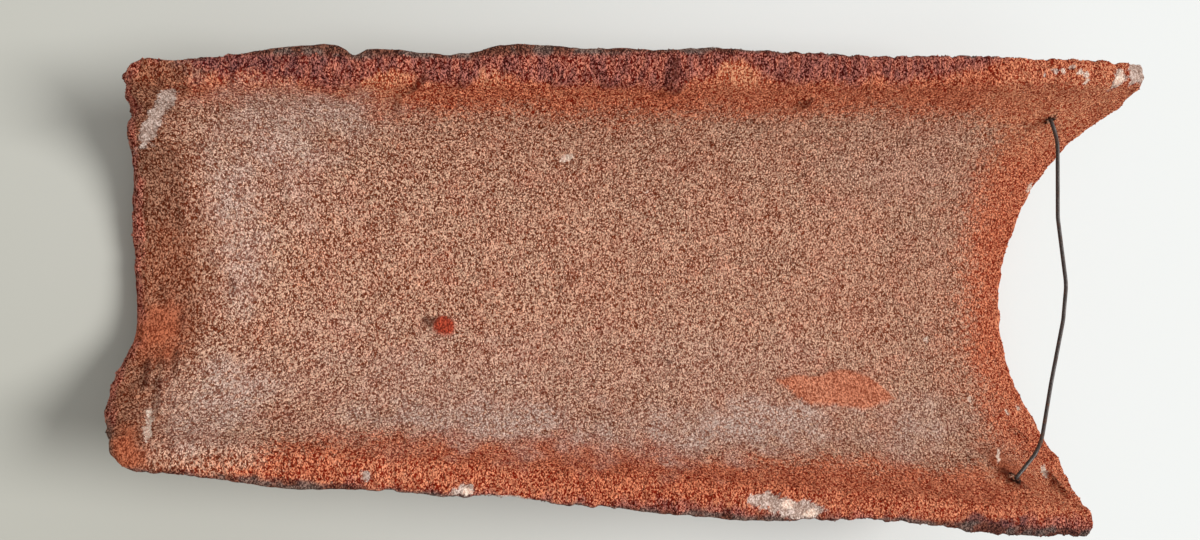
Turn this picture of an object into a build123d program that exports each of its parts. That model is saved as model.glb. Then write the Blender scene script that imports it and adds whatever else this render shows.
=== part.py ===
"""Clay roof tile, a tapered trough, with an iron wire strung across its wide end.

Millimetres. +X runs along the tile to its wide end, +Y across it and +Z up.
The tile lies hollow side up on its back, with the floor at z = 0.
"""

import os

from build123d import *

# Hollow face: half width and depth at the two ends of the tile
LENGTH = 420.0
WALL = 12.0
NARROW_HALF = 64.0
NARROW_DEPTH = 45.5
WIDE_HALF = 98.0
WIDE_DEPTH = 76.5
# How far the crown of the back is rubbed flat, where the tile lies on the floor
CROWN_WEAR = 0.15

# Hand-pressed rims: share of the length, then how far the upper (+Y) and the lower (-Y) edge
# stand out past the plain wall
RIM_WAVES = [
    (-0.045, -4.0, -1.5),
    (0.043, -3.7, -0.9),
    (0.076, -2.2, -0.7),
    (0.107, 0.6, 0.6),
    (0.143, 2.3, 1.8),
    (0.202, 1.1, 0.6),
    (0.245, -0.3, 0.0),
    (0.279, -0.9, 0.8),
    (0.319, 3.1, -0.5),
    (0.357, 3.3, 0.0),
    (0.400, 2.0, 0.9),
    (0.438, 2.3, 0.8),
    (0.476, 1.5, 1.8),
    (0.517, 3.1, 2.0),
    (0.571, 2.0, 2.9),
    (0.614, 1.1, 2.1),
    (0.662, 0.5, -0.3),
    (0.714, 0.0, -1.5),
    (0.774, 0.0, -1.2),
    (0.833, 0.5, 0.3),
    (0.890, -0.6, 1.3),
    (0.945, -1.0, -0.6),
    (0.995, -2.2, -1.6),
    (1.080, -3.6, -3.2),
]
RIM_ROUND = 2.5

# Narrow end, seen from above: share of the half width, then how far the end is set back
NARROW_EDGE = [
    (1.30, 12.0),
    (1.12, 2.5),
    (0.97, -1.0),
    (0.62, 0.0),
    (0.19, 0.0),
    (-0.25, 3.0),
    (-0.44, 3.5),
    (-0.72, -2.5),
    (-0.87, -4.0),
    (-1.06, -0.5),
    (-1.30, 8.0),
]

# Wide end, seen from above and cut in straight runs: share of the half width, then how far the end
# stands out past the length. Both sides stand out further than the middle.
WIDE_EDGE = [
    (1.30, 8.0),
    (1.01, 8.5),
    (0.94, 15.0),
    (0.82, 10.0),
    (0.52, 1.5),
    (0.15, -3.0),
    (-0.25, -3.0),
    (-0.50, 0.0),
    (-0.63, 3.0),
    (-0.82, 4.0),
    (-0.98, -8.5),
    (-1.30, -12.0),
]

# Marks in the clay, at shares of the length and of the half width there: a pit in the hollow
# face and a chip out of the upper rim
PIT_AT = (0.292, -0.31)
PIT_RADIUS = 5.5
PIT_DEPTH = 2.2
CHIP_AT = 0.176
CHIP_RADIUS = 7.0
CHIP_DEPTH = 4.0

# Wire holes: distance from the wide end, and share of the half width there
UPPER_HOLE = (17.3, 0.88)
LOWER_HOLE = (34.5, -0.92)
HOLE_DIAMETER = 4.0

# Wire: share of the way from the upper hole to the lower one, then its bow to the wide end
WIRE_RUN = [
    (0.05, 4.5),
    (0.27, 9.0),
    (0.46, 17.8),
    (0.56, 18.0),
    (0.74, 14.5),
    (0.92, 12.0),
]
WIRE_DIAMETER = 1.8
WIRE_GAP = 0.3
WIRE_LEG = 12.0
WIRE_LIFT = 3.0
WIRE_BEND = 2.5
RUN_BEND = 24.0


def half_width(x):
    return NARROW_HALF + (WIDE_HALF - NARROW_HALF) * x / LENGTH


def rim_height(x):
    """Height of the rims over the floor."""
    return WALL + NARROW_DEPTH + (WIDE_DEPTH - NARROW_DEPTH) * x / LENGTH


def section(x, upper, lower):
    """Slice across the tile with rounded rims."""
    top = rim_height(x)
    low_in, up_in = (-half_width(x), top), (half_width(x), top)
    low_out, up_out = (low_in[0] - WALL - lower, top), (up_in[0] + WALL + upper, top)
    outline = ThreePointArc(low_in, (0, WALL), up_in)
    outline += Line(up_in, up_out)
    outline += ThreePointArc(up_out, ((up_out[0] + low_out[0]) / 2, -CROWN_WEAR), low_out)
    outline += Line(low_out, low_in)
    outline = make_face(outline)
    outline = fillet(outline.vertices(), RIM_ROUND)
    outline -= Pos(0, -WALL / 2) * Rectangle(4 * half_width(x), WALL)
    return Plane((x, 0, 0), x_dir=(0, 1, 0), z_dir=(1, 0, 0)) * outline


def hollow_point(x, across):
    """Point on the hollow face at a share of the half width, and the direction into the clay."""
    half = half_width(x)
    depth = rim_height(x) - WALL
    radius = (half**2 + depth**2) / (2 * depth)
    centre = Vector(x, 0, WALL + radius)
    y = across * half
    point = Vector(x, y, centre.Z - (radius**2 - y**2) ** 0.5)
    return point, (point - centre).normalized()


def wire_end(point, into_clay):
    """Corners of the wire from its leg on the back face, in through its hole, to the hollow."""
    beyond = point + into_clay * WALL
    hits = solid_wall.find_intersection_points(Axis(point, into_clay))
    exit_point, normal = min(hits, key=lambda hit: (hit[0] - beyond).length)
    corner = exit_point + into_clay * (WIRE_GAP + WIRE_DIAMETER / 2)
    leg = Vector(-1, 0, 0) + normal * normal.X
    return [corner + leg.normalized() * WIRE_LEG, corner, point - into_clay * WIRE_LIFT]


slices = [section(share * LENGTH, *waves) for share, *waves in RIM_WAVES]
solid_wall = loft(slices, ruled=True)

stock = LENGTH / 2
narrow_points = [(set_back, across * NARROW_HALF) for across, set_back in NARROW_EDGE]
border = Spline(*narrow_points)
border += Polyline(narrow_points[-1], (-stock, -stock), (-stock, stock), narrow_points[0])
tile = solid_wall - extrude(make_face(border), stock)
wide_points = [(LENGTH + out, across * WIDE_HALF) for across, out in WIDE_EDGE]
beyond = LENGTH + stock
border = Polyline(*wide_points, (beyond, -stock), (beyond, stock), close=True)
tile -= extrude(make_face(border), stock)

upper_hole = hollow_point(LENGTH - UPPER_HOLE[0], UPPER_HOLE[1])
lower_hole = hollow_point(LENGTH - LOWER_HOLE[0], LOWER_HOLE[1])
for point, into_clay in (upper_hole, lower_hole):
    tile -= Plane(point, z_dir=into_clay) * Cylinder(HOLE_DIAMETER / 2, 4 * WALL)

pit_point, pit_down = hollow_point(PIT_AT[0] * LENGTH, PIT_AT[1])
tile -= Pos(*(pit_point - pit_down * (PIT_RADIUS - PIT_DEPTH))) * Sphere(PIT_RADIUS)

chip_x = CHIP_AT * LENGTH
chip_y = half_width(chip_x) + WALL + CHIP_RADIUS - CHIP_DEPTH
tile -= Pos(chip_x, chip_y, rim_height(chip_x)) * Sphere(CHIP_RADIUS)

upper_end = wire_end(*upper_hole)
lower_end = wire_end(*lower_hole)
across = lower_end[-1] - upper_end[-1]
run = [upper_end[-1] + across * share + Vector(bow, 0, 0) for share, bow in WIRE_RUN]
radii = [WIRE_BEND, WIRE_BEND] + [RUN_BEND] * len(run) + [WIRE_BEND, WIRE_BEND]
path = FilletPolyline(*upper_end, *run, *reversed(lower_end), radius=radii)
wire = sweep(Plane(path @ 0, z_dir=path % 0) * Circle(WIRE_DIAMETER / 2), path=path)

box = tile.bounding_box()
to_origin = Pos(-box.center().X, -box.center().Y, -box.min.Z)
os.makedirs("parts", exist_ok=True)
export_step(to_origin * tile, "parts/tile_body.step")
export_step(to_origin * wire, "parts/hanging_wire.step")
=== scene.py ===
"""Looks of the clay roof tile: one rough fired clay trough and the iron wire across its wide end.

The tile is worked out in millimetres, with x from its narrow end, and moved to the frame in metres.
"""

from math import asin, cos, pi, radians

import bpy
import numpy as np
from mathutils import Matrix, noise


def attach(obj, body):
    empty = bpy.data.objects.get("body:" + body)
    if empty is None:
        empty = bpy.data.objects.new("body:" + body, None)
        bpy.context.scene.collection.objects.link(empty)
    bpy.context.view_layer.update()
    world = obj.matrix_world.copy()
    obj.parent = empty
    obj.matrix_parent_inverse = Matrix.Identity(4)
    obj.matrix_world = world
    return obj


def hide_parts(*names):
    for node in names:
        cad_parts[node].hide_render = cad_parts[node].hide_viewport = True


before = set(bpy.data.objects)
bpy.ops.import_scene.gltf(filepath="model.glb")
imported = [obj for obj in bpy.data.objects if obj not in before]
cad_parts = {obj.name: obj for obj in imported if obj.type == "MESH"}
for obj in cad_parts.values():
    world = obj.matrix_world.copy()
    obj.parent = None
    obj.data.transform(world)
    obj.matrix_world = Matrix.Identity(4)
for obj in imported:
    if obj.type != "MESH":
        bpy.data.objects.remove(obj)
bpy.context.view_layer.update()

MM = 0.001
# Where the narrow end's reference point lies in the frame, in millimetres
START = np.array([-215.492, -0.0605, 0.0])

# Plain form of the tile: its length and wall, and half width and depth of the hollow at each end
LENGTH = 420.0
WALL = 12.0
NARROW_HALF = 64.0
NARROW_DEPTH = 45.5
WIDE_HALF = 98.0
WIDE_DEPTH = 76.5

# Distance along the tile, then how far the upper (+Y) and lower (-Y) rim stand out
RIM_WAVES = [
    (-19, -4.0, -1.5),
    (18, -3.7, -0.9),
    (32, -2.2, -0.7),
    (45, 0.6, 0.6),
    (60, 2.3, 1.8),
    (85, 1.1, 0.6),
    (103, -0.3, 0.0),
    (117, -0.9, 0.8),
    (134, 3.1, -0.5),
    (150, 3.3, 0.0),
    (168, 2.0, 0.9),
    (184, 2.3, 0.8),
    (200, 1.5, 1.8),
    (217, 3.1, 2.0),
    (240, 2.0, 2.9),
    (258, 1.1, 2.1),
    (278, 0.5, -0.3),
    (300, 0.0, -1.5),
    (325, 0.0, -1.2),
    (350, 0.5, 0.3),
    (374, -0.6, 1.3),
    (397, -1.0, -0.6),
    (418, -2.2, -1.6),
    (454, -3.6, -3.2),
]
# How far the outer edges stand out past the waves, to make up for their rounding
OUTER_SWELL = 1.2
# Distance across the tile, then how far the narrow end is set back there
NARROW_EDGE = [
    (-83, 7.0),
    (-68, -1.7),
    (-56, -5.2),
    (-47, -4.0),
    (-40, -1.8),
    (-34, 1.4),
    (-25, 2.5),
    (-16, 1.8),
    (12, -1.2),
    (40, -1.2),
    (52, -2.0),
    (56.5, 0.2),
    (60.5, -2.4),
    (63.5, -1.6),
    (67, -0.9),
    (71, 0.9),
    (76, 4.5),
    (83, 12.0),
]
# Distance across the tile, then the distance along it at which the wide end lies there
WIDE_EDGE = [
    (-118, 405.3),
    (-108, 409.8),
    (-102, 413.8),
    (-97, 412.8),
    (-91, 418.3),
    (-85, 423.3),
    (-79, 425.5),
    (-71, 424.3),
    (-63, 424.3),
    (-54, 422.3),
    (-46, 420.5),
    (-32, 418.9),
    (-16, 418.1),
    (0, 417.9),
    (15, 418.7),
    (30, 420.1),
    (46, 422.1),
    (54, 422.7),
    (61, 425.1),
    (68, 426.9),
    (75, 427.9),
    (82, 431.9),
    (88, 435.7),
    (93, 436.9),
    (98, 432.3),
    (104, 430.8),
    (112, 428.3),
]

# Grid of the skin: steps along the tile, and across the hollow, the back and each rim
STEPS_ALONG = 318
STEPS_HOLLOW = 168
STEPS_BACK = STEPS_HOLLOW // 2
STEPS_RIM = 10
# Rows over an end: share of the way to the middle of the wall, then how far back from the end as a
# share of the rounding there
END_ROWS = [(0.0, 1.0), (0.06, 0.59), (0.14, 0.38), (0.28, 0.18), (0.5, 0.03), (0.75, 0.0)]
# Share of the arcs that the line in the middle of the wall spans, and passes that settle an end
END_DEPTH = 0.93
END_PASSES = 3
# Rounding of the narrow and of the wide end
NARROW_ROUND = 4.5
WIDE_ROUND = 2.2

# Chip out of the upper rim: distance along the tile, half length, depth, how far below the rim it
# ends and is whole, and how far out from the hollow's edge it starts
CHIP_AT = 78.2
CHIP_LENGTH = 3.9
CHIP_DEPTH = 3.5
CHIP_DROP = (16.0, 1.0)
CHIP_START = 3.0

# Loose sand fired onto the clay: number of grains, least and greatest radius, and how far small
# grains outnumber big ones. Then the least and greatest height of a grain's middle over the clay,
# and reach of its corners, as shares of its radius.
SAND_GRAINS = 24000
SAND_RADIUS = (0.3, 0.75)
SAND_SKEW = 2.0
SAND_STANDING = (-0.1, 0.35)
SAND_CORNERS = (0.7, 1.25)
SAND_SEED = 11
# Share of the sand that calm places lose, share that the back keeps, how far from the hollow's
# edge the back starts, and the height over the floor under which there is no sand
CALM_LOSS = 0.92
BACK_SAND = 0.1
BACK_START = -14.0
SAND_FLOOR = 2.0

# Rounding of the long edges: passes of smoothing, and how many columns they reach
SOFT_INNER = (14, 6)
SOFT_OUTER = (4, 3)

# Wire holes: distance along the tile and across it
HOLES = [(402.7, 85.1), (385.5, -87.4)]
HOLE_RADIUS = 2.0
HOLE_SIDES = 24

# How far the orange clay reaches below the rims' inner edges, by distance along the tile, and in
# from the wide end, by distance across it
UPPER_ORANGE = [
    (-10, 14), (20, 10), (45, 6), (70, 10), (95, 17), (140, 19), (200, 22), (260, 22), (320, 21),
    (365, 28), (440, 60),
]
LOWER_ORANGE = [
    (-10, -14), (30, -14), (50, -6), (75, 5), (100, 12), (140, 20), (200, 23), (245, 18), (300, 22),
    (365, 25), (440, 50),
]
WIDE_ORANGE = [(-110, 30), (-80, 28), (-40, 21), (0, 18), (40, 24), (58, 34), (75, 40), (110, 46)]
# How far the brown clay reaches in from the narrow end, by distance across the tile
NARROW_BROWN = [
    (-100, 12), (-74, 12), (-62, 15), (-48, 17), (-34, 20), (-18, 23), (0, 24), (20, 22), (36, 17),
    (50, 12), (60, 14), (80, 22),
]
# How far below a rim's inner edge the purple crust ends
UPPER_PURPLE = [
    (-10, -13), (15, -9), (45, 0), (75, 3), (95, -3), (115, 3), (135, 1), (160, 3), (200, 4),
    (232, -3), (250, 2), (290, 1), (325, -1), (345, -8), (365, -16), (440, -18),
]
LOWER_PURPLE = [
    (-10, -12), (60, -13), (120, -10), (200, -9), (300, -9), (360, -8), (385, -3), (410, -3),
    (440, -7),
]
# How far out from the hollow's edge the lip's painted shade starts, a dark grey where the back
# turns down away from the light, on the upper side, and on the lower side by distance along the
# tile
UPPER_LIP = 11.0
LOWER_LIP = [(40, 9.5), (90, 10.5), (290, 10.0), (350, 6.5)]

# The marks below are ovals on the hollow or the rims, seen from above: x, y, half length, half
# width and turn in degrees. A sixth number is the mark's strength, its height or its depth.

# How far from its middle an oval is worked out, in half lengths, to take in its ragged border
OVAL_REACH = 2.5

# Pale blooms, with their strength. Those on the lower side are stronger, partly as painted light
# where the lower flank faces the light.
BLOOMS_AND_LIGHT = [
    (52, 48, 22, 15, -40, 0.75),
    (42, 2, 9, 15, 0, 0.7),
    (34, -52, 18, 12, 10, 0.85),
    (66, 60, 26, 6, 2, 0.8),
    (150, -61, 46, 8, -5, 1.0),
    (262, -63, 52, 9, 4, 1.1),
    (350, -66, 26, 8, 8, 0.7),
    (36, 30, 9, 14, 0, 0.85),
    (340, 58, 30, 12, 0, 0.2),
    (120, -45, 60, 16, 0, 0.35),
    (240, -40, 60, 14, 0, 0.25),
]
# Bare patch in the hollow: distance along the tile, then its lower and upper border across it
BARE_PATCH = [
    (279.0, -45.8, -45.2),
    (284.0, -47.5, -44.2),
    (288.0, -50.6, -43.4),
    (293.0, -55.2, -42.4),
    (301.5, -55.9, -43.3),
    (310.0, -56.2, -41.3),
    (319.0, -57.6, -39.8),
    (323.0, -58.4, -40.2),
    (328.0, -57.8, -41.4),
    (334.0, -56.2, -44.0),
    (339.5, -55.4, -48.4),
    (345.5, -54.4, -53.6),
]
# Clay that was wiped smooth, and the dull brown corner
SMOOTH_CLAY = [(11, -27, 9, 12, 0), (388, -83, 10, 5.5, -30), (4, -70, 8, 8, 0)]
BROWN_SPOTS = [(6, 72, 18, 10, 0)]
# Bright orange places, with their strength; the big one by the wide end's upper corner is partly
# painted light, where the light falls there more strongly
GLOWS = [
    (232.5, 85.5, 9, 5.5, 0, 0.9),
    (89, 70, 8, 6, 10, 0.8),
    (129, 78, 5, 4, 0, 0.7),
    (365, 90, 9, 6, 0, 0.8),
    # Partly painted light at the wide end's upper corner
    (400, 84, 36, 17, 14, 0.8),
    (392, -86, 22, 9, -12, 0.6),
]
# Grey stains, and the pit with its sunk tail, whose dark colour is painted shade
STAINS = [(-4, -67, 3.5, 8, 0), (20, 77, 9, 2.5, 4), (36, 80, 7, 2.0, 4)]
PIT = (124.4, -23.4, 4.9, 4.4, 0)
PIT_DEPTH = 2.4
PIT_TAIL = (117.6, -21.6, 3.4, 1.9, -8)
TAIL_DEPTH = 1.5
# Mortar left on the clay, with its height
MORTAR = [
    (7.0, 52.5, 10.5, 2.7, 58, 0.25),
    (181.0, 94.5, 4.0, 1.1, 0, 0.3),
    (12.8, 60.5, 3.0, 2.6, 0, 0.3),
    (12.0, 77.0, 2.8, 1.6, 0, 0.3),
    (254, -90.5, 10, 4.0, -8, 0.9),
    (266, -94.0, 11, 4.0, -4, 0.8),
    (127, -83.5, 3.2, 2.2, 0, 0.8),
    (88.5, -78, 2.0, 2.0, 0, 0.8),
    (122, -84.5, 1.8, 1.5, 0, 0.5),
    (143, -87.5, 9, 1.2, -4, 0.4),
    (426, 103.5, 5.5, 5.0, 30, 0.5),
    (417, 100.5, 3.0, 4.4, -10, 0.4),
    (382, 101.0, 1.8, 1.2, 0, 0.3),
    (377, 99.0, 1.2, 1.0, 0, 0.3),
]
# Bits of white lime, with their height
LIME = [
    (172.6, 51.6, 2.5, 1.4, 15, 0.6),
    (371.0, -25.1, 1.2, 1.1, 0, 0.5),
    (388.7, -53.5, 0.9, 0.8, 0, 0.4),
    (408.2, -59.5, 1.0, 0.9, 0, 0.4),
    (416.1, -57.8, 1.2, 1.1, 0, 0.4),
    (387.8, -78.3, 3.8, 0.6, 42, 0.3),
    (408.6, -84.8, 3.4, 1.1, 37, 0.4),
    (420.0, 54.8, 1.3, 2.2, 0, 0.5),
    (10.5, -60.0, 1.2, 5.0, 8, 0.7),
    (416.8, 100.2, 2.0, 3.0, -10, 0.4),
    (390.5, 103.2, 1.5, 1.0, 0, 0.4),
    (394.5, 101.4, 1.5, 1.1, 30, 0.4),
    (398.8, 100.2, 1.9, 1.2, -20, 0.4),
    (399.6, 97.6, 1.5, 1.0, 10, 0.3),
    (386.0, 101.0, 1.0, 0.9, 0, 0.3),
    (127.0, -84.5, 1.6, 1.4, 0, 0.5),
    (262.0, -91.5, 3.0, 1.8, -8, 0.4),
    (272.0, -95.5, 3.4, 1.6, -4, 0.4),
    (213.5, 39.9, 0.9, 0.9, 0, 0.3),
]
# Worn mouths of the wire holes, painted dark as shade in the holes
MOUTHS = [(402.4, 85.0, 2.2, 1.8, 0), (384.8, -87.4, 2.4, 1.9, 0)]
# Dark blotches fired onto the rims, with their strength
DUSK = [
    (350, -100, 7, 2.6, -3, 1.0),
    (363, -102.5, 5, 3.4, -4, 1.0),
    (374, -102.5, 3.0, 3.4, 0, 1.0),
    (396, -107, 16, 2.6, -3, 1.0),
    (46, 74, 34, 6, 5, 0.45),
    (24, 74, 8, 4, 0, 0.55),
]
# Pits and cracks, with their depth, painted darker as shade the deeper they are
GOUGES = [
    (177.1, -5.2, 1.4, 1.3, 0, 1.8),
    (228.1, -37.8, 1.6, 1.4, 0, 1.5),
    (270.5, 80.5, 2.6, 2.0, 40, 2.0),
    (204.0, 85.0, 2.0, 6.5, 0, 2.0),
    (207.5, 80.0, 3.0, 2.0, 30, 1.4),
    (385.4, -20.9, 1.5, 2.4, 20, 1.5),
    (38.4, -8.6, 1.2, 5.0, 10, 1.2),
    (30.0, 6.0, 1.1, 6.0, -6, 1.0),
    (58.0, 28.0, 1.0, 4.5, 0, 1.0),
    (158.0, -31.0, 8.0, 1.0, -12, 0.8),
    (176.0, -37.0, 11.0, 1.1, -20, 1.0),
    (103.0, 73.0, 7.0, 1.3, 38, 1.5),
    (97.5, 66.0, 1.2, 4.0, 8, 1.2),
    (120.0, 74.0, 3.5, 1.4, 15, 1.2),
    (409.4, -89.0, 1.1, 4.2, -20, 2.0),
    (409.4, -69.8, 5.0, 1.1, -42, 1.8),
    (406.5, -78.3, 1.3, 1.8, 0, 1.2),
    (372.0, -80.0, 1.2, 2.4, 20, 1.2),
    (8.0, -44.0, 1.2, 6.0, 0, 1.7),
    (13.0, -51.0, 1.3, 7.0, 4, 1.5),
    (4.0, -50.0, 1.1, 4.0, -6, 1.2),
    (18.5, -40.0, 1.3, 6.0, 10, 1.4),
    (19.5, -24.0, 1.3, 4.5, 0, 1.4),
    (13.0, -39.0, 1.0, 4.0, 0, 1.2),
    (18.0, 18.0, 1.2, 7.0, 0, 1.1),
    (25.0, 22.0, 1.1, 6.0, -4, 1.0),
    (1.5, 57.5, 4.0, 1.2, 35, 1.2),
    (0.5, 66.0, 3.0, 1.0, -20, 1.0),
    (402.7, 85.1, 4.2, 4.0, 0, 1.0),
    (385.5, -87.4, 5.0, 4.4, 0, 1.6),
    (391.0, -80.0, 7.0, 4.0, -20, 0.7),
]

# Uneven surfaces and borders in millimetres, each as layers of size, octaves, place in the noise
# and height
BROAD_LUMPS = [(38.0, 2, 0.0, 0.5)]
CLAY_LUMPS = [(9.0, 2, 7.0, 0.34), (2.7, 1, 3.0, 0.36)]
CRUST_LUMPS = [((3.2, 20.0, 14.0), 3, 11.0, 1.0), (5.0, 2, 5.0, 0.6)]
END_LUMPS = [(6.0, 2, 23.0, 0.8)]
BACK_STREAKS = [((70.0, 5.0, 5.0), 2, 17.0, 0.5)]
MORTAR_LUMPS = [(2.6, 2, 31.0, 0.5)]
BARE_BORDER = [(4.0, 2, 19.0, 0.9)]
ORANGE_BORDER = [(20.0, 3, 2.0, 6.0), (4.0, 2, 9.0, 2.0)]
BROWN_BORDER = [(16.0, 3, 6.0, 5.0), (4.0, 2, 9.0, 2.0)]
PURPLE_BORDER = [((10.0, 16.0, 16.0), 3, 4.0, 4.5)]
LIP_BORDER = [(8.0, 2, 14.0, 1.5)]
# How strongly the orange and purple borders vary at the wide and at the narrow end
WIDE_RAGGED = 1.3
NARROW_RAGGED = 0.5
# Strength of the purple crust over the narrow end, partly painted shade where the rounded end turns
# down away from the light
NARROW_PURPLE_SHADE = 0.65

# Distances in millimetres over which each zone or kind of relief fades in, and LIP_END over which
# the lip's painted shade fades out. UP_FADE and CRUST_OUTER_FADE are measured from the hollow's
# upper edge into the hollow, CRUST_INNER_FADE, BACK_FADE and LIP_END from it out over the back,
# END_FADE and NARROW_FADE out past an end, and the others from their borders in.
UP_FADE = (-15, -12)
CRUST_OUTER_FADE = (-16, -11)
CRUST_INNER_FADE = (-9, 1)
BACK_FADE = (12, 22)
END_FADE = (-18, -4)
BARE_FADE = (-0.4, 0.9)
ORANGE_FADE = (-19, 13)
WIDE_FADE = (-30, 22)
BROWN_FADE = (-17, 11)
PURPLE_FADE = (-6, 6)
NARROW_FADE = (-5.5, -1.5)
LIP_FADE = (0, 2)
LIP_END = (20, 34)

# Depths of the bare patch and of the holes' mouths, depth from which a crack's painted shade is at
# its darkest, and how much of the lumps calm places lose
BARE_DEPTH = 0.9
MOUTH_DEPTH = 1.2
CRACK_DEPTH = 1.5
CALMING = 0.6

# Screen colours of each clay: of the pits between its grains, then of the grains. The spread
# between them is partly the clay's own grain and partly painted shade in the pits and painted light
# on the grains. A clay with two such pairs varies between them.
TAN = [((122, 56, 30), (250, 198, 168)), ((120, 58, 34), (250, 204, 174))]
RUDDY = [(124, 48, 26), (246, 180, 152)]
ORANGE = [((142, 32, 8), (255, 164, 122)), ((132, 28, 6), (252, 154, 112))]
GLOWING = [(170, 56, 24), (255, 182, 138)]
PURPLE = [((70, 10, 6), (196, 120, 108)), ((110, 20, 8), (236, 146, 120))]
PALE = [(166, 120, 102), (246, 222, 208)]
BROWN = [((92, 38, 18), (192, 138, 110)), ((102, 36, 12), (198, 132, 100))]
DUSKY = [(44, 26, 34), (150, 96, 92)]
SMOOTH = [((106, 46, 26), (190, 108, 76)), ((114, 48, 28), (194, 110, 76))]
BARE = [((126, 52, 28), (228, 148, 114)), ((134, 60, 36), (234, 160, 126))]
STAINED = [(70, 50, 40), (150, 122, 104)]
PIT_CLAY = [(140, 50, 34), (214, 94, 66)]
BACK_CLAY = [((120, 66, 46), (224, 150, 114)), ((112, 70, 56), (220, 166, 134))]
BACK_PATCH = [(96, 66, 56), (198, 158, 136)]
# Painted shade on the outer edges past the rims, dark grey where the back turns away from the light
LIP_SHADE_CLAY = [((58, 30, 26), (132, 80, 64)), ((72, 58, 54), (142, 124, 114))]
MORTAR_GREY = [((140, 112, 98), (206, 180, 166)), ((164, 138, 124), (236, 214, 202))]
LIME_WHITE = [(224, 180, 160), (255, 234, 214)]
# Screen colours without grain
# Painted shade in the pit's sunk tail
TAIL_SHADE_BROWN = (84, 40, 28)
# Painted shade in the cracks and pits
CRACK_SHADE_BROWN = (84, 34, 24)
# Painted shade in the holes' mouths
MOUTH_SHADE_BROWN = (44, 20, 14)
IRON = [(58, 52, 50), (92, 84, 80)]
RUST = [(84, 54, 40), (120, 84, 62)]
# Painted light on the floor, from its darker to its paler end
FLOOR_LIGHT_FALLOFF = [(179, 178, 168), (226, 228, 226)]

# Grit in the clay's colour, in millimetres: size of a grain, then size and reach of the wobble in
# its outline. Its shape is a factor on the places along each axis, which makes it wider across the
# tile.
GRIT_SIZE = 0.45
GRIT_SHAPE = (1.0, 0.62, 0.62)
WOBBLE_SIZE = 1.1
WOBBLE_REACH = 0.6
# Height of the bumps in the clay's and the wire's material, in millimetres
CLAY_BUMP = 1.3
WIRE_BUMP = 0.12
# Share of their grain that calm places lose, and the tone that takes its place
CALM_GRAIN = (0.5, 0.62)
# Shine of the clay, and roughness of its grains' pits and heads, of iron and rust, and of the floor
CLAY_SHINE = 0.06
CLAY_ROUGHNESS = (0.98, 0.8)
WIRE_ROUGHNESS = (0.42, 0.85)
FLOOR_ROUGHNESS = 0.9
# How metallic iron and rust are
WIRE_METAL = (0.55, 0.1)

# Distance in metres over which the floor's painted light turns from darker to paler, and its size
FLOOR_FADE = (-0.34, 0.22)
FLOOR_SIZE = 6.0

# Camera: its place in metres, its turn in degrees, and its lens and sensor in millimetres
CAMERA_PLACE = (-0.171372, 0.002960, 0.468060)
CAMERA_TURN = (-0.689, -18.391, 2.420)
CAMERA_LENS = 31.5
CAMERA_SENSOR = 36.0
# Lamp, with its width and turn in degrees, and strength of the white world
LAMP_STRENGTH = 0.86 * pi
LAMP_WIDTH = 28
LAMP_TURN = (0, 40, 4)
WORLD_STRENGTH = 0.52


def through(points, at, column=1):
    """Smooth curve through the points, read at the given places."""
    table = np.array(points, float)
    places, values = table[:, 0], table[:, column]
    slopes = np.gradient(values, places)
    at = np.clip(at, places[0], places[-1])
    left = np.clip(np.searchsorted(places, at, "right") - 1, 0, len(places) - 2)
    step = places[left + 1] - places[left]
    rise = values[left + 1] - values[left]
    t = (at - places[left]) / step
    bend = (1 - t) * (slopes[left] * step - rise) + t * (rise - slopes[left + 1] * step)
    return values[left] + t * rise + t * (1 - t) * bend


def lumps(points, size, octaves, place):
    """Noise from about -1 to 1 with lumps of this size, one number or one for each axis."""
    places = (points / size + place).reshape(-1, 3).tolist()
    values = [noise.fractal(at, 1.0, 2.0, octaves) for at in places]
    return np.array(values).reshape(points.shape[:-1])


def uneven(points, layers):
    """Lumps in millimetres, as a sum of layers of size, octaves, place in the noise and height."""
    return sum(
        height * lumps(points, np.array(size), octaves, place)
        for size, octaves, place, height in layers
    )


def ramp(value, low, high):
    """0 below low and 1 above high, smooth between."""
    t = np.clip((value - low) / (high - low), 0, 1)
    return t * t * (3 - 2 * t)


def half_width(x):
    """Half the hollow's width at this distance along the tile."""
    return NARROW_HALF + (WIDE_HALF - NARROW_HALF) * x / LENGTH


def hollow_depth(x):
    """Depth of the hollow under the rims."""
    return NARROW_DEPTH + (WIDE_DEPTH - NARROW_DEPTH) * x / LENGTH


def arc(x, share, half, depth, middle, bottom):
    """Points of an arc across the tile, with share running from -1 to 1 along it."""
    radius = (half**2 + depth**2) / (2 * depth)
    angle = share * np.arctan2(half, radius - depth)
    y = middle + radius * np.sin(angle)
    z = bottom + radius * (1 - np.cos(angle))
    return np.stack([x + 0 * y, y, z], axis=-1)


def hollow(x, share):
    """Points of the hollow face."""
    return arc(x, share, half_width(x), hollow_depth(x), 0.0, WALL)


def back(x, share):
    """Points of the back face."""
    upper = half_width(x) + WALL + OUTER_SWELL + through(RIM_WAVES, x, 1)
    lower = half_width(x) + WALL + OUTER_SWELL + through(RIM_WAVES, x, 2)
    return arc(x, share, (upper + lower) / 2, hollow_depth(x) + WALL, (upper - lower) / 2, 0.0)


def narrow_end(y):
    """Distance along the tile at which its narrow end lies."""
    return through(NARROW_EDGE, y)


def wide_end(y):
    """Distance along the tile at which its wide end lies."""
    return through(WIDE_EDGE, y)


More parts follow.
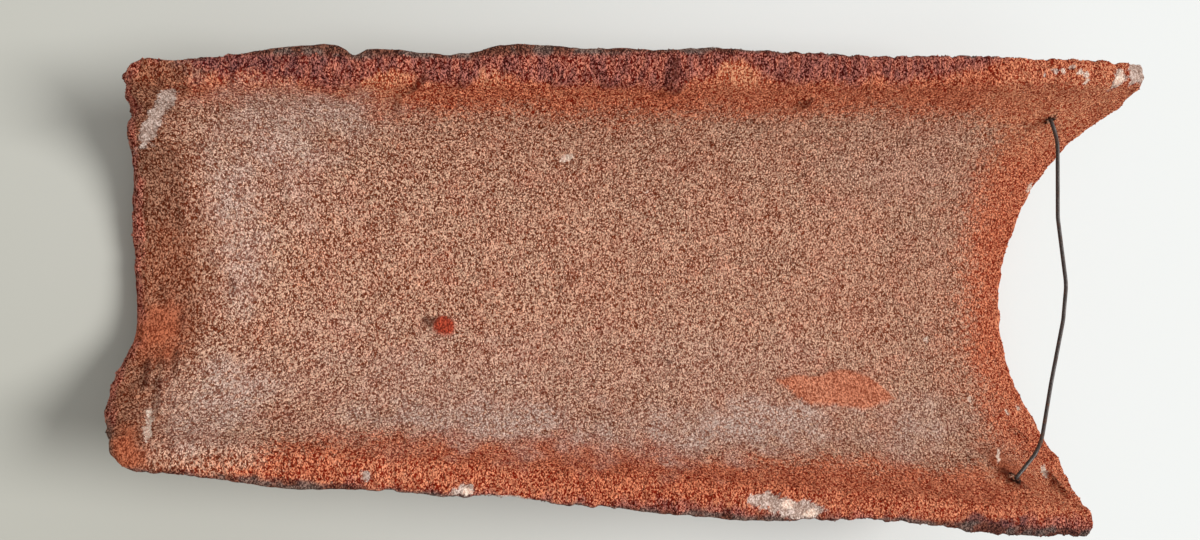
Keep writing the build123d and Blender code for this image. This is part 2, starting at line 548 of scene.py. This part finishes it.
# Columns of the grid run round the tile: hollow, upper rim, back, lower rim
SHARES = np.linspace(-1, 1, STEPS_HOLLOW + 1)
CUTS = np.cumsum([STEPS_HOLLOW + 1, STEPS_RIM - 1, STEPS_BACK + 1])
COLUMNS = CUTS[-1] + STEPS_RIM - 1
HOLLOW = slice(0, CUTS[0])
BACK = slice(CUTS[1], CUTS[2])
CORNERS = [0, STEPS_HOLLOW, CUTS[1], CUTS[2] - 1]


def section(x):
    """Points round the tile, for rows of x with one value for every column."""
    hollow_x, upper_x, back_x, lower_x = np.split(x, CUTS, axis=1)
    out = (np.arange(1, STEPS_RIM) / STEPS_RIM)[:, None]
    upper = hollow(upper_x, 1.0) * (1 - out) + back(upper_x, 1.0) * out
    lower = hollow(lower_x, -1.0) * out + back(lower_x, -1.0) * (1 - out)
    columns = [hollow(hollow_x, SHARES), upper, back(back_x, -SHARES[::2]), lower]
    return np.concatenate(columns, axis=1)


def middle_of_wall(x):
    """Where each column's points meet in the middle of the wall, over an end."""
    hollow_x, upper_x, back_x, lower_x = np.split(x, CUTS, axis=1)

    def middle(xs, share):
        return (hollow(xs, share * END_DEPTH) + back(xs, share * END_DEPTH)) / 2

    upper = middle(upper_x, 1.0)
    lower = middle(lower_x, -1.0)
    columns = [middle(hollow_x, SHARES), upper, middle(back_x, -SHARES[::2]), lower]
    return np.concatenate(columns, axis=1)


def plain_skin():
    """Points of the whole skin, in rows from the narrow end to the wide one."""
    # How far each row reaches over an end, below 0 at the narrow end
    over = [-share for share, set_back in reversed(END_ROWS)]
    over += [0.0] * (STEPS_ALONG - 1)
    over += [share for share, set_back in END_ROWS]
    over = np.array(over)
    set_back = np.interp(np.abs(over), *zip(*END_ROWS))[:, None]
    along = np.clip((np.arange(len(over)) - len(END_ROWS) + 1) / STEPS_ALONG, 0, 1)[:, None]
    inward = np.abs(over)[:, None, None]
    x = along * LENGTH + np.zeros(COLUMNS)
    # The ends' places depend on y, and y on x, so both settle in a few passes
    for _ in range(END_PASSES):
        points = section(x) * (1 - inward) + middle_of_wall(x) * inward
        first = narrow_end(points[..., 1]) + NARROW_ROUND * set_back
        last = wide_end(points[..., 1]) - WIDE_ROUND * set_back
        x = first + along * (last - first)
    points[..., 0] = x
    return points


def soften_corners(points):
    """Rounds the four long edges, the inner ones more."""
    for corner, (times, reach) in zip(CORNERS, (SOFT_INNER, SOFT_INNER, SOFT_OUTER, SOFT_OUTER)):
        near = (corner + np.arange(-reach, reach + 1)) % COLUMNS
        for _ in range(times):
            before, after = points[:, near - 1], points[:, (near + 1) % COLUMNS]
            points[:, near] = (before + 2 * points[:, near] + after) / 4


def outward(points):
    """Unit normals of the skin."""
    along = np.gradient(points, axis=0)
    round_it = np.roll(points, -1, axis=1) - np.roll(points, 1, axis=1)
    normals = np.cross(round_it, along)
    return normals / np.linalg.norm(normals, axis=-1, keepdims=True)


def down_from_rim(points):
    """Distance from the hollow's upper edge: above 0 in the hollow, below 0 on the rim and back."""
    step = np.linalg.norm(points - np.roll(points, 1, axis=1), axis=-1)
    run = np.cumsum(step, axis=1) - step[:, :1]
    whole = run[:, -1:] + step[:, :1]
    first = run[:, CORNERS[0]][:, None]
    last = run[:, CORNERS[1]][:, None]
    inside = np.minimum(run - first, last - run)
    outside = np.minimum(run - last, whole - run)
    return np.where(inside >= 0, inside, -outside)


def spot(points, place, ragged, size, soft):
    """1 inside an oval seen from above, 0 outside, with a border as ragged and as soft as given."""
    x, y, length, width, turn = place
    near = np.hypot(points[..., 0] - x, points[..., 1] - y) < OVAL_REACH * max(length, width)
    inside = points[near]
    along, across = inside[:, 0] - x, inside[:, 1] - y
    c, s = np.cos(radians(turn)), np.sin(radians(turn))
    far = np.hypot((c * along + s * across) / length, (c * across - s * along) / width)
    far = far + ragged * lumps(inside, size, 2, x)
    values = np.zeros(points.shape[:-1])
    values[near] = ramp(-far, -1 - soft, -1 + soft)
    return values


def spots(points, places, **looks):
    """The strongest of several ovals."""
    return np.max([spot(points, place, **looks) for place in places], axis=0)


def heights(points, places, **looks):
    """The strongest of several ovals, each times its last number."""
    return np.max([place[-1] * spot(points, place[:-1], **looks) for place in places], axis=0)


def bare_patch(points):
    """1 inside the patch that has lost its sandy skin."""
    x, y = points[..., 0], points[..., 1]
    inside = np.minimum(through(BARE_PATCH, x, 2) - y, y - through(BARE_PATCH, x, 1))
    inside = np.where((x > BARE_PATCH[0][0]) & (x < BARE_PATCH[-1][0]), inside, -np.inf)
    return ramp(inside + uneven(points, BARE_BORDER), *BARE_FADE)


def marks_of(points, facing_up):
    """Marks in the clay, from 0 to about 1."""
    mortar = [place[:-1] for place in MORTAR]
    lime = [place[:-1] for place in LIME]
    depths = heights(points, GOUGES, ragged=0.5, size=3.0, soft=0.4)
    marks = {
        "bloom_and_light": heights(points, BLOOMS_AND_LIGHT, ragged=0.9, size=11.0, soft=0.9),
        "bare": bare_patch(points),
        "smooth": spots(points, SMOOTH_CLAY, ragged=0.6, size=7.0, soft=0.55),
        "pit": spot(points, PIT, ragged=0.12, size=3.0, soft=0.12),
        "tail": spot(points, PIT_TAIL, ragged=0.3, size=3.0, soft=0.4),
        "mortar": spots(points, mortar, ragged=0.5, size=3.0, soft=0.3),
        # Painted shade in the gouges, darker the deeper they are
        "crack_shade": np.minimum(depths / CRACK_DEPTH, 1.0),
        "lime": spots(points, lime, ragged=0.4, size=2.0, soft=0.3),
        "mouth": spots(points, MOUTHS, ragged=0.2, size=3.0, soft=0.3),
        "dusk": heights(points, DUSK, ragged=0.7, size=5.0, soft=0.6),
        "glow": heights(points, GLOWS, ragged=0.5, size=6.0, soft=0.6),
        "stain": spots(points, STAINS, ragged=0.5, size=5.0, soft=0.5),
    }
    return {name: values * facing_up for name, values in marks.items()}


def relief(points, rim, gap, marks, facing_up):
    """How far the skin stands out along its normal, in millimetres."""
    on_rim = ramp(rim, *CRUST_OUTER_FADE) * ramp(-rim, *CRUST_INNER_FADE)
    on_back = ramp(-rim, *BACK_FADE)
    near_end = ramp(-np.minimum(gap[0], gap[1]), *END_FADE)
    rough = 1 - CALMING * np.max([marks["bare"], marks["smooth"], marks["mortar"]], axis=0)
    height = uneven(points, BROAD_LUMPS) + rough * uneven(points, CLAY_LUMPS)
    height += on_rim * rough * uneven(points, CRUST_LUMPS)
    height += near_end * rough * uneven(points, END_LUMPS)
    height += on_back * uneven(points, BACK_STREAKS)
    height -= PIT_DEPTH * marks["pit"]
    height -= TAIL_DEPTH * marks["tail"] * (1 - marks["pit"])
    height -= BARE_DEPTH * marks["bare"]
    raised = facing_up * heights(points, MORTAR + LIME, ragged=0.5, size=3.0, soft=0.3)
    height += raised * (1 + uneven(points, MORTAR_LUMPS))
    height -= MOUTH_DEPTH * marks["mouth"]
    return height - facing_up * heights(points, GOUGES, ragged=0.3, size=4.0, soft=0.45)


def orange_zone(points, rim, gap):
    """Orange clay below the rims and beside the wide end."""
    x, y = points[..., 0], points[..., 1]
    ragged = uneven(points, ORANGE_BORDER)
    reach = np.where(y > 0, through(UPPER_ORANGE, x), through(LOWER_ORANGE, x))
    flank = ramp(reach - rim + ragged, *ORANGE_FADE)
    wide = ramp(through(WIDE_ORANGE, y) - gap[1] + WIDE_RAGGED * ragged, *WIDE_FADE)
    return np.maximum(flank, wide)


def brown_zone(points, gap):
    """Dull brown clay beside the narrow end."""
    reach = through(NARROW_BROWN, points[..., 1]) + uneven(points, BROWN_BORDER)
    band = ramp(reach - gap[0], *BROWN_FADE)
    return np.maximum(band, spots(points, BROWN_SPOTS, ragged=0.4, size=6.0, soft=0.5))


def purple_zone(points, rim, gap):
    """Purple crust on the rims, and over the narrow end, where it is partly painted shade on the
    rounded end turning away from the light.
    """
    x, y = points[..., 0], points[..., 1]
    ragged = uneven(points, PURPLE_BORDER)
    edge = np.where(y > 0, through(UPPER_PURPLE, x), through(LOWER_PURPLE, x))
    narrow_crust_shade = NARROW_PURPLE_SHADE * ramp(-gap[0] + NARROW_RAGGED * ragged, *NARROW_FADE)
    return np.maximum(ramp(edge - rim + ragged, *PURPLE_FADE), narrow_crust_shade)


def lip_shade_zone(points, rim):
    """Painted shade over the clay on the edges outside the rims, dark grey where the back turns
    down away from the light.
    """
    lower = np.interp(points[..., 0], *zip(*LOWER_LIP))
    start = np.where(points[..., 1] > 0, UPPER_LIP, lower) - uneven(points, LIP_BORDER)
    return ramp(-rim - start, *LIP_FADE) * (1 - ramp(-rim, *LIP_END))


def end_gaps(points):
    """Distance from the narrow and from the wide end."""
    return points[..., 0] - narrow_end(points[..., 1]), wide_end(points[..., 1]) - points[..., 0]


def chip_rim(points):
    """Takes a chip out of the upper rim's outer edge."""
    along = np.exp(-(((points[..., 0] - CHIP_AT) / CHIP_LENGTH) ** 2))
    top = WALL + hollow_depth(CHIP_AT)
    high = ramp(points[..., 2], top - CHIP_DROP[0], top - CHIP_DROP[1])
    edge = half_width(CHIP_AT)
    outside = ramp(points[..., 1], edge + CHIP_START, edge + WALL)
    points[..., 1] -= CHIP_DEPTH * along * high * outside


# The skin of the tile, and the zones and marks on each of its points
skin = plain_skin()
soften_corners(skin)
chip_rim(skin)
rim = down_from_rim(skin)
gap = end_gaps(skin)
facing_up = ramp(rim, *UP_FADE)
back_side = 1 - facing_up
marks = marks_of(skin, facing_up)
orange = orange_zone(skin, rim, gap)
purple = purple_zone(skin, rim, gap)
brown = brown_zone(skin, gap)
lip_shade = lip_shade_zone(skin, rim)
skin += outward(skin) * relief(skin, rim, gap, marks, facing_up)[..., None]
skin[..., 2] = np.maximum(skin[..., 2], 0.0)
CALM_MARKS = ("bare", "smooth", "mortar", "pit", "tail", "lime", "mouth")
calm = np.max([marks[name] for name in CALM_MARKS], axis=0)

# What each point of the meshes carries, three numbers under each name
ZONES = {
    "clay_zones": (orange, purple, marks["bloom_and_light"]),
    "clay_marks": (marks["bare"], marks["smooth"], marks["mortar"]),
    "clay_pits": (marks["pit"], marks["tail"], marks["crack_shade"]),
    "clay_tints": (brown, marks["glow"], marks["stain"]),
    "clay_bits": (marks["lime"], marks["mouth"], marks["dusk"]),
}


def tile_mesh(skin):
    """The skin as faces, with each end's last row joined to a line in the middle of the wall."""
    rows, columns = skin.shape[:2]
    grid = np.arange(rows * columns).reshape(rows, columns)
    right = np.roll(grid, -1, axis=1)
    quads = np.stack([grid[:-1], grid[1:], right[1:], right[:-1]], axis=-1).reshape(-1, 4)
    faces = quads.tolist()
    vertices = [skin.reshape(-1, 3)]
    count = rows * columns
    for row, turn in ((0, 1), (rows - 1, -1)):
        ring = grid[row]
        on_back = skin[row, BACK][::-1]
        opposite = np.empty((STEPS_HOLLOW + 1, 3))
        opposite[::2] = on_back
        opposite[1::2] = (on_back[1:] + on_back[:-1]) / 2
        vertices.append((skin[row, HOLLOW] + opposite) / 2)
        middle = count + np.arange(STEPS_HOLLOW + 1)
        count += len(middle)
        for j in range(STEPS_HOLLOW):
            faces.append([ring[j], ring[j + 1], middle[j + 1], middle[j]][::turn])
        for k in range(STEPS_BACK):
            j = CUTS[1] + k
            m = STEPS_HOLLOW - 2 * k
            faces.append([ring[j], ring[j + 1], middle[m - 2], middle[m - 1], middle[m]][::turn])
        for j in range(STEPS_HOLLOW, CUTS[1]):
            faces.append([ring[j], ring[j + 1], middle[-1]][::turn])
        for j in range(CUTS[2] - 1, COLUMNS):
            faces.append([ring[j], ring[(j + 1) % COLUMNS], middle[0]][::turn])
    points = (np.concatenate(vertices) + START) * MM
    mesh = bpy.data.meshes.new("fired_tile")
    mesh.from_pydata(points.tolist(), [], [[int(v) for v in face] for face in faces])
    mesh.update()
    mesh.shade_smooth()
    return mesh


def sand_mesh(skin, rim, calm):
    """Small uneven grains, half sunk in the clay, the grid points they lie on, and their tones."""
    rng = np.random.default_rng(SAND_SEED)
    along = np.diff(skin, axis=0, append=skin[-1:])
    across = np.roll(skin, -1, axis=1) - skin
    area = np.linalg.norm(np.cross(along, across), axis=-1)
    wanted = area * (1 - CALM_LOSS * calm) * np.where(rim > BACK_START, 1.0, BACK_SAND)
    wanted *= skin[..., 2] > SAND_FLOOR
    chosen = rng.choice(wanted.size, SAND_GRAINS, p=(wanted / wanted.sum()).ravel())
    row, column = np.unravel_index(chosen, wanted.shape)
    shift = rng.random((2, SAND_GRAINS, 1))
    middle = skin[row, column] + shift[0] * along[row, column] + shift[1] * across[row, column]
    least, most = SAND_RADIUS
    radius = least + (most - least) * rng.random((SAND_GRAINS, 1)) ** SAND_SKEW
    middle += outward(skin)[row, column] * radius * rng.uniform(*SAND_STANDING, (SAND_GRAINS, 1))
    turns = np.linalg.qr(rng.normal(size=(SAND_GRAINS, 3, 3)))[0]
    turns *= np.sign(np.linalg.det(turns))[:, None, None]
    corners = np.array([(1, 0, 0), (-1, 0, 0), (0, 1, 0), (0, -1, 0), (0, 0, 1), (0, 0, -1)], float)
    reach = radius[:, None] * rng.uniform(*SAND_CORNERS, (SAND_GRAINS, 6, 1))
    points = middle[:, None] + np.einsum("nij,kj->nki", turns, corners) * reach
    sides = [(0, 2, 4), (2, 1, 4), (1, 3, 4), (3, 0, 4), (2, 0, 5), (1, 2, 5), (3, 1, 5), (0, 3, 5)]
    faces = (np.arange(SAND_GRAINS) * 6)[:, None, None] + np.array(sides)
    points = (points.reshape(-1, 3) + START) * MM
    mesh = bpy.data.meshes.new("sand")
    mesh.from_pydata(points.tolist(), [], faces.reshape(-1, 3).tolist())
    return mesh, row, column, rng.random(SAND_GRAINS)


def put(tree, kind, *links, **settings):
    """A new node with its settings, and its inputs linked or set."""
    made = tree.nodes.new(kind)
    for name, value in settings.items():
        setattr(made, name, value)
    for socket, source in links:
        if isinstance(source, bpy.types.NodeSocket):
            tree.links.new(source, made.inputs[socket])
        else:
            made.inputs[socket].default_value = source
    return made


def new_material(name):
    """A new material, its nodes, its shader, and the place on the object."""
    material = bpy.data.materials.new(name)
    material.use_nodes = True
    tree = material.node_tree
    place = put(tree, "ShaderNodeTexCoord").outputs["Object"]
    return material, tree, tree.nodes["Principled BSDF"], place


def mixed(tree, factor, first, second):
    """The first colour where the factor is 0, the second where it is 1."""
    links = (("Factor", factor), (6, first), (7, second))
    return put(tree, "ShaderNodeMix", *links, data_type="RGBA").outputs[2]


def mapped(tree, value, low, high, to_low=0.0, to_high=1.0):
    """The value, turned smoothly from one range into another."""
    links = (("Value", value), (1, low), (2, high), (3, to_low), (4, to_high))
    return put(tree, "ShaderNodeMapRange", *links, interpolation_type="SMOOTHSTEP").outputs[0]


def maths(tree, operation, first, second):
    """One operation on two numbers."""
    links = ((0, first), (1, second))
    return put(tree, "ShaderNodeMath", *links, operation=operation).outputs[0]


def vectors(tree, operation, first, second):
    """One operation on two vectors."""
    links = ((0, first), (1, second))
    return put(tree, "ShaderNodeVectorMath", *links, operation=operation).outputs[0]


def clay_noise(tree, place, size, detail=2.0, roughness=0.5):
    """Noise with features of this many millimetres."""
    scale = 1 / (size * MM)
    links = (("Vector", place), ("Scale", scale), ("Detail", detail), ("Roughness", roughness))
    return put(tree, "ShaderNodeTexNoise", *links).outputs["Fac"]


def colour(red, green, blue):
    """Linear colour of a screen colour given in steps from 0 to 255."""
    return tuple(((c / 255 + 0.055) / 1.055) ** 2.4 for c in (red, green, blue)) + (1.0,)


def marks_out(tree, name):
    """The three numbers that the points carry under this name."""
    source = put(tree, "ShaderNodeAttribute", attribute_name=name)
    return put(tree, "ShaderNodeSeparateXYZ", (0, source.outputs["Vector"])).outputs


def stretched(tree, place, sizes, detail=2.0):
    """Noise with features of these many millimetres along x, y and z."""
    scale = tuple(1 / (size * MM) for size in sizes)
    inner = vectors(tree, "MULTIPLY", place, scale)
    links = (("Vector", inner), ("Scale", 1.0), ("Detail", detail))
    return put(tree, "ShaderNodeTexNoise", *links).outputs["Fac"]


def summed(tree, start, *parts):
    """The start value and every part, as (value, its middle, weight)."""
    total = start
    for value, middle, weight in parts:
        off = maths(tree, "MULTIPLY", maths(tree, "SUBTRACT", value, middle), weight)
        total = maths(tree, "ADD", total, off)
    return total


def clay_grit(tree, place):
    """Cells of the size of sand grains, wider across the tile than along it."""
    links = (("Vector", place), ("Scale", 1 / (WOBBLE_SIZE * MM)), ("Detail", 1.0))
    wobble = put(tree, "ShaderNodeTexNoise", *links).outputs["Color"]
    shift = vectors(tree, "MULTIPLY", wobble, 3 * (WOBBLE_REACH * MM,))
    cells = vectors(tree, "MULTIPLY", vectors(tree, "ADD", place, shift), GRIT_SHAPE)
    links = (("Vector", cells), ("Scale", 1 / (GRIT_SIZE * MM)))
    return put(tree, "ShaderNodeTexVoronoi", *links).outputs


def clay_material():
    """Sandy fired clay, coloured by the zones and marks that its points carry."""
    material, tree, shader, place = new_material("fired_clay_sandy")
    orange, purple, bloom_and_light = marks_out(tree, "clay_zones")
    bare, smooth, mortar = marks_out(tree, "clay_marks")
    pit, tail, crack_shade = marks_out(tree, "clay_pits")
    lip_shade, back_side, sand = marks_out(tree, "clay_shade_back_sand")
    brown, glow, stain = marks_out(tree, "clay_tints")
    lime, mouth, dusk = marks_out(tree, "clay_bits")

    patches = clay_noise(tree, place, 22.0, 3.0)
    blushes = clay_noise(tree, place, 12.0, 3.0)
    clusters = clay_noise(tree, place, 8.0)
    flecks = clay_noise(tree, place, 2.2)
    pebbles = clay_noise(tree, place, 1.2, 1.0, 0.6)
    ribs = stretched(tree, place, (1.4, 4.5, 4.5), 1.0)
    grain = stretched(tree, place, (0.35, 0.62, 0.62), 1.0)
    streaks = stretched(tree, place, (3.0, 9.0, 9.0), 3.0)
    wiped = stretched(tree, place, (60.0, 3.0, 3.0))
    grit = clay_grit(tree, place)
    tone = put(tree, "ShaderNodeSeparateColor", (0, grit["Color"])).outputs[0]

    def times(first, second):
        return maths(tree, "MULTIPLY", first, second)

    calm = maths(tree, "MAXIMUM", bare, maths(tree, "MAXIMUM", smooth, mortar))
    grains = summed(
        tree,
        0.54,
        (grain, 0.5, 3.3),
        # The grit cells darken towards their edges: painted shade in the pits between the grains
        (grit["Distance"], 0.42, -1.0),
        (tone, 0.5, 1.9),
        (flecks, 0.5, 0.3),
        (clusters, 0.5, 0.25),
        (sand, 0.0, 0.5),
    )
    links = ((0, times(calm, CALM_GRAIN[0])), (2, grains), (3, CALM_GRAIN[1]))
    grains = put(tree, "ShaderNodeMix", *links, data_type="FLOAT").outputs[0]
    grains = mapped(tree, grains, 0.14, 0.94)

    def sandy(pits, heads):
        """Colour of the pits between the grains, partly painted shade, and of the grains, partly
        painted light.
        """
        return mixed(tree, grains, colour(*pits), colour(*heads))

    def varied(value, low, high, pairs):
        """Sandy clay that goes from one pair of colours to another with a noise."""
        return mixed(tree, mapped(tree, value, low, high), sandy(*pairs[0]), sandy(*pairs[1]))

    def patchy(pairs):
        """Sandy clay that varies in broad patches."""
        return varied(patches, 0.38, 0.62, pairs)

    def edged(amount, strength, low=0.15, high=0.85):
        """A zone whose border is broken up grain by grain."""
        broken = summed(tree, amount, (grain, 0.5, strength), (flecks, 0.5, strength))
        return mapped(tree, broken, low, high)

    def within(amount, worked):
        """Keeps a broken-up zone off the places that it doesn't reach at all."""
        return times(worked, mapped(tree, amount, 0.02, 0.2))

    ruddy = times(mapped(tree, blushes, 0.5, 0.68), 0.4)
    tan_clay = mixed(tree, ruddy, patchy(TAN), sandy(*RUDDY))
    orange_clay = mixed(tree, glow, patchy(ORANGE), sandy(*GLOWING))
    crust = summed(tree, purple, (streaks, 0.5, 1.6), (clusters, 0.5, 0.5), (glow, 0.0, -0.8))
    worn_back = mapped(tree, patches, 0.5, 0.68)
    back_clay = mixed(tree, worn_back, varied(wiped, 0.4, 0.6, BACK_CLAY), sandy(*BACK_PATCH))
    mortar_clay = varied(flecks, 0.35, 0.65, MORTAR_GREY)
    # Each clay in turn covers the ones before it
    layers = [
        (edged(orange, 1.5, 0.05, 0.95), orange_clay),
        # Pale blooms, on the lower side partly painted light
        (times(times(bloom_and_light, 0.85), mapped(tree, flecks, 0.25, 0.55)), sandy(*PALE)),
        (times(within(brown, edged(brown, 1.3, 0.1, 0.95)), 0.95), patchy(BROWN)),
        (within(purple, edged(crust, 0.35)), varied(streaks, 0.38, 0.62, PURPLE)),
        (times(within(dusk, edged(dusk, 0.8)), 0.85), sandy(*DUSKY)),
        (times(smooth, 0.9), patchy(SMOOTH)),
        (bare, patchy(BARE)),
        (times(stain, 0.8), sandy(*STAINED)),
        (pit, sandy(*PIT_CLAY)),
        # Painted shade in the pit's sunk tail
        (times(tail, 0.7), colour(*TAIL_SHADE_BROWN)),
        # Painted shade in the cracks and pits
        (within(crack_shade, edged(crack_shade, 0.8, 0.4, 1.5)), colour(*CRACK_SHADE_BROWN)),
        (back_side, back_clay),
        # The lips' painted shade on the outer edges past the rims
        (times(lip_shade, 0.85), varied(clusters, 0.44, 0.56, LIP_SHADE_CLAY)),
        (times(within(mortar, edged(mortar, 0.9, 0.15, 0.7)), 0.95), mortar_clay),
        (within(lime, edged(lime, 1.1, 0.15, 0.6)), sandy(*LIME_WHITE)),
        # Painted shade in the holes' mouths
        (mapped(tree, mouth, 0.1, 0.7), colour(*MOUTH_SHADE_BROWN)),
    ]
    base = tan_clay
    for share, clay in layers:
        base = mixed(tree, share, base, clay)
    tree.links.new(base, shader.inputs["Base Color"])

    shader.inputs["Specular IOR Level"].default_value = CLAY_SHINE
    tree.links.new(mapped(tree, grain, 0.3, 0.7, *CLAY_ROUGHNESS), shader.inputs["Roughness"])
    rough = summed(
        tree,
        0.0,
        (pebbles, 0.5, 1.6),
        (flecks, 0.5, 0.7),
        (grit["Distance"], 0.0, -0.5),
    )
    crusty = times(maths(tree, "SUBTRACT", ribs, 0.5), purple)
    rough = maths(tree, "ADD", rough, times(crusty, 1.6))
    rough = times(rough, mapped(tree, calm, 0.0, 1.0, 1.0, 0.35))
    bump = put(tree, "ShaderNodeBump", ("Height", rough), ("Distance", CLAY_BUMP * MM))
    tree.links.new(bump.outputs[0], shader.inputs["Normal"])
    return material


def wire_material():
    """Dark drawn iron with a thin brown rust."""
    material, tree, shader, place = new_material("iron_wire_dark")
    rust = clay_noise(tree, place, 5.0, 4.0, 0.7)
    specks = clay_noise(tree, place, 0.7, 2.0, 0.6)
    bright = mixed(tree, mapped(tree, specks, 0.35, 0.65), colour(*IRON[0]), colour(*IRON[1]))
    rusty = mixed(tree, mapped(tree, specks, 0.4, 0.6), colour(*RUST[0]), colour(*RUST[1]))
    base = mixed(tree, mapped(tree, rust, 0.5, 0.68), bright, rusty)
    tree.links.new(base, shader.inputs["Base Color"])
    tree.links.new(mapped(tree, rust, 0.42, 0.66, *WIRE_METAL), shader.inputs["Metallic"])
    uneven_rust = summed(tree, rust, (specks, 0.5, 0.4))
    roughness = mapped(tree, uneven_rust, 0.4, 0.65, *WIRE_ROUGHNESS)
    tree.links.new(roughness, shader.inputs["Roughness"])
    bump = put(tree, "ShaderNodeBump", ("Height", specks), ("Distance", WIRE_BUMP * MM))
    tree.links.new(bump.outputs[0], shader.inputs["Normal"])
    return material


def attribute(mesh, name, *values):
    """Three numbers for each point, with 0 for the points in the middle of the ends."""
    given = np.stack(values, axis=-1).reshape(-1, 3)
    numbers = np.zeros((len(mesh.vertices), 3), np.float32)
    numbers[:len(given)] = given
    mesh.attributes.new(name, "FLOAT_VECTOR", "POINT").data.foreach_set("vector", numbers.ravel())


def shown(name, mesh, material):
    """A clay piece of the scene."""
    piece = bpy.data.objects.new(name, mesh)
    bpy.context.scene.collection.objects.link(piece)
    mesh.materials.append(material)
    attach(piece, "root")
    return piece


def drill(piece):
    """Cuts the wire holes through the wall, square to the hollow."""
    for x, y in HOLES:
        radius = (half_width(x) ** 2 + hollow_depth(x) ** 2) / (2 * hollow_depth(x))
        turn = asin(y / radius)
        middle = (np.array([x, y, WALL + radius * (1 - cos(turn))]) + START) * MM
        bpy.ops.mesh.primitive_cylinder_add(
            vertices=HOLE_SIDES, radius=HOLE_RADIUS * MM, depth=4 * WALL * MM, location=middle,
            rotation=(turn, 0, 0),
        )
        cutter = bpy.context.object
        cut = piece.modifiers.new("hole", "BOOLEAN")
        cut.object = cutter
        cut.solver = "MANIFOLD"
        bpy.context.view_layer.objects.active = piece
        bpy.ops.object.modifier_apply(modifier=cut.name)
        bpy.data.objects.remove(cutter)


clay = clay_material()
mesh = tile_mesh(skin)
for name, values in ZONES.items():
    attribute(mesh, name, *values)
# The lips' painted shade, the back, and no grain tone on the tile
attribute(mesh, "clay_shade_back_sand", lip_shade, back_side, 0 * lip_shade)
tile = shown("fired_tile", mesh, clay)
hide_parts("tile_body")
drill(tile)

mesh, row, column, tones = sand_mesh(skin, rim, calm)
for name, values in ZONES.items():
    attribute(mesh, name, *[np.repeat(value[row, column], 6) for value in values])
shade_back_sand = (lip_shade[row, column], back_side[row, column], tones)
attribute(mesh, "clay_shade_back_sand", *[np.repeat(value, 6) for value in shade_back_sand])
shown("sand_grains", mesh, clay)

iron = wire_material()
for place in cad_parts["hanging_wire"].material_slots:
    place.material = iron


def pale_floor():
    """Pale floor with painted light, darker towards the narrow end and the lower side and paler
    towards the wide end and the upper side.
    """
    bpy.ops.mesh.primitive_plane_add(size=FLOOR_SIZE)
    floor = bpy.context.object
    floor.name = "floor"
    material, tree, shader, place = new_material("floor_pale")
    sides = put(tree, "ShaderNodeSeparateXYZ", (0, place)).outputs
    # Painted light: darker towards the narrow end and the lower side
    share = mapped(tree, summed(tree, sides[0], (sides[1], 0.0, 0.5)), *FLOOR_FADE)
    dark, pale = FLOOR_LIGHT_FALLOFF
    tree.links.new(mixed(tree, share, colour(*dark), colour(*pale)), shader.inputs["Base Color"])
    shader.inputs["Roughness"].default_value = FLOOR_ROUGHNESS
    floor.data.materials.append(material)


def lights():
    """Soft light from the right of the photo, and an even white world."""
    world = bpy.data.worlds.new("studio")
    world.use_nodes = True
    sky = world.node_tree.nodes["Background"].inputs
    sky["Strength"].default_value = WORLD_STRENGTH
    sky["Color"].default_value = (1, 1, 1, 1)
    bpy.context.scene.world = world
    lamp = bpy.data.lights.new("key", "SUN")
    lamp.energy = LAMP_STRENGTH
    lamp.angle = radians(LAMP_WIDTH)
    key = bpy.data.objects.new("key", lamp)
    key.rotation_euler = [radians(angle) for angle in LAMP_TURN]
    bpy.context.scene.collection.objects.link(key)


def camera():
    """The photo's own view, from above the narrow end."""
    data = bpy.data.cameras.new("camera")
    data.lens = CAMERA_LENS
    data.sensor_width = CAMERA_SENSOR
    view = bpy.data.objects.new("camera", data)
    view.location = CAMERA_PLACE
    view.rotation_euler = [radians(angle) for angle in CAMERA_TURN]
    bpy.context.scene.collection.objects.link(view)
    bpy.context.scene.camera = view


pale_floor()
lights()
camera()
bpy.context.scene.view_settings.view_transform = "Standard"
